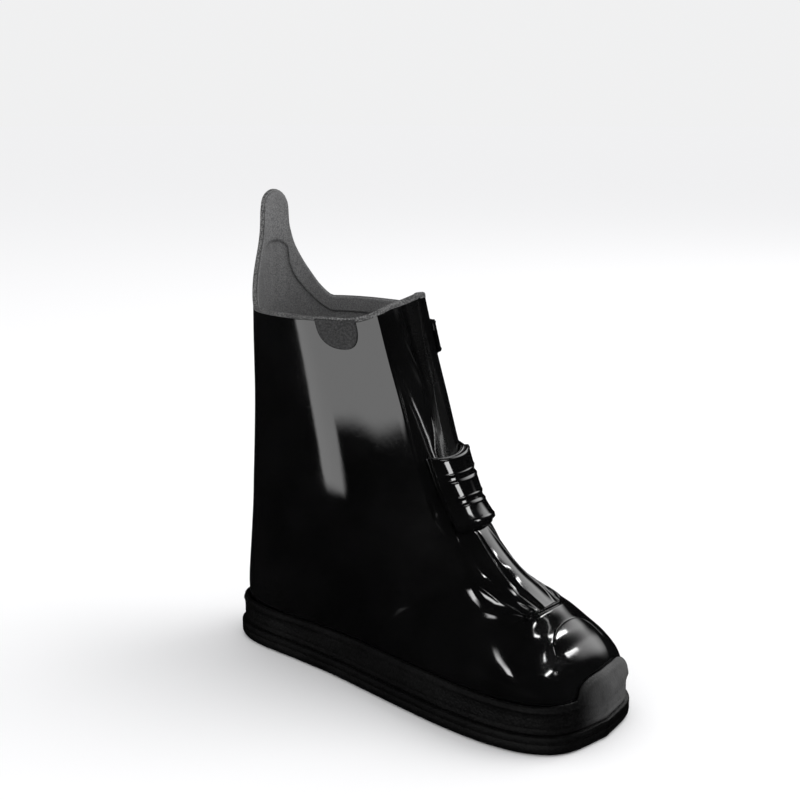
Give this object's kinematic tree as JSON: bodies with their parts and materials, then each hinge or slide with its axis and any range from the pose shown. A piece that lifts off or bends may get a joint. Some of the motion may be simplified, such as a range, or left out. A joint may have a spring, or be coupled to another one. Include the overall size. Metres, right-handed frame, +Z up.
{
  "type": "rubber overboot",
  "caption": "Left boot of a glossy rubber overboot pair, with rear pull tab, folded front gusset, buttoned straps, raised instep bars, foxing, toe guard and cleated sole.",
  "frame": {"origin": "middle of the boot's bounding box, on the floor under the sole", "axes": "toe towards -Y, the wearer's outer side towards +X, +Z up"},
  "size_m": [0.1302, 0.3266, 0.344],
  "materials": {
    "gloss_rubber": "high-gloss moulded black rubber",
    "grained_rubber": "satin black rubber with a fine grain",
    "matte_lining": "matte dark grey inner face"
  },
  "bodies": {
    "root": {"upper": "gloss_rubber", "front_gusset": "gloss_rubber", "rim_facing": "matte_lining", "foxing_toe_guard": "grained_rubber", "outsole": "grained_rubber", "instep_strap": "gloss_rubber", "top_strap": "gloss_rubber", "instep_button": "gloss_rubber", "top_button": "gloss_rubber", "grip_patch_inner": "grained_rubber", "grip_patch_outer": "grained_rubber", "toe_cap": "gloss_rubber"}
  },
  "joints": []
}
